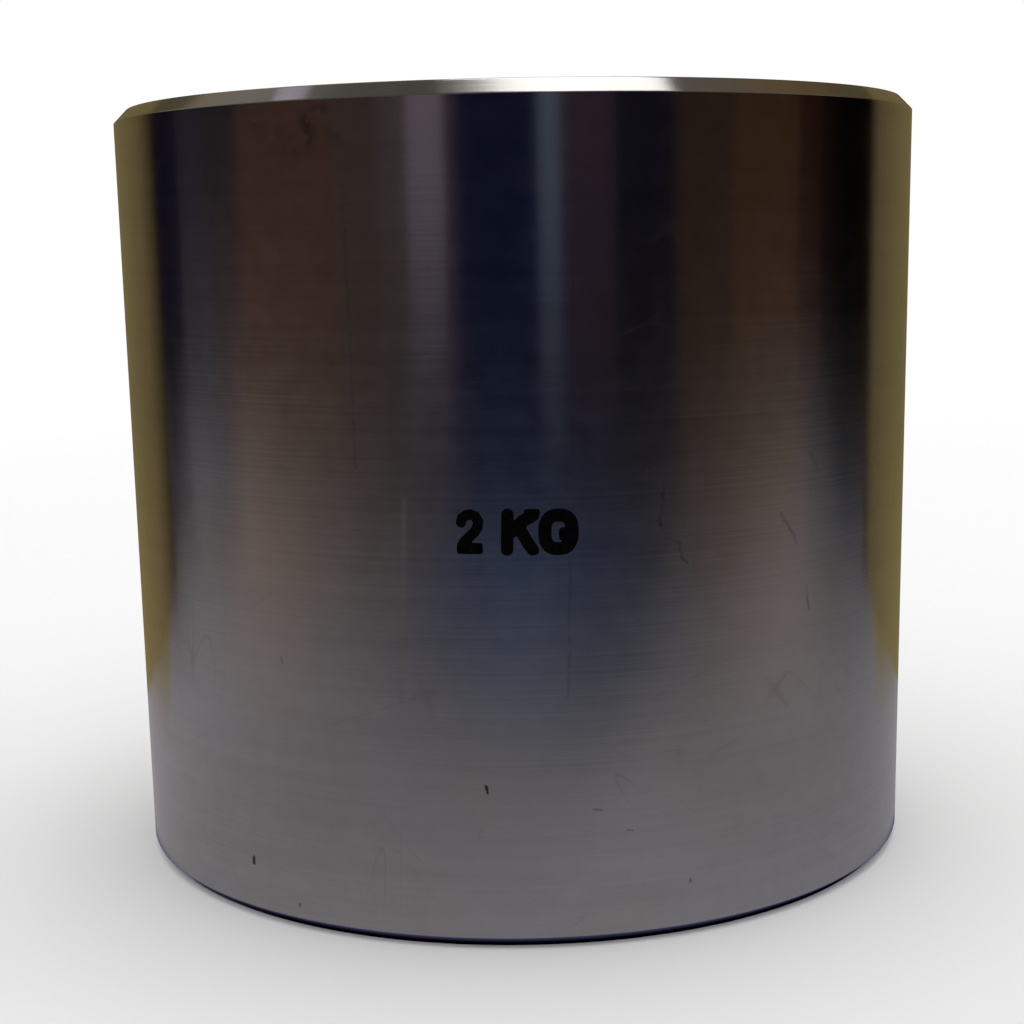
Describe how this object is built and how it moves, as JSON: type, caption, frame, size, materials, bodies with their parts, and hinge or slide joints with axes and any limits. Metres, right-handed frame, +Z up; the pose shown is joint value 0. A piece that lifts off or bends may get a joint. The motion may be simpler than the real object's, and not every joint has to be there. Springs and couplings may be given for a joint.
{
  "type": "calibration weight",
  "caption": "Solid turned stainless-steel cylinder with chamfered edges and flat faces, used as a 2 kg calibration weight for balances and scales.",
  "frame": {"origin": "centre of the base face, which rests on the pan or table", "axes": "+Z up along the turning axis; the side that carries the nominal mass faces -Y"},
  "size_m": [0.07, 0.07, 0.0654],
  "materials": {
    "turned_steel": "fine circumferential turning marks, satin, with handling scratches and a few stains",
    "marking_black": "thin matt black marking film, unworn"
  },
  "bodies": {
    "root": {"weight_body": "turned_steel"}
  },
  "joints": []
}
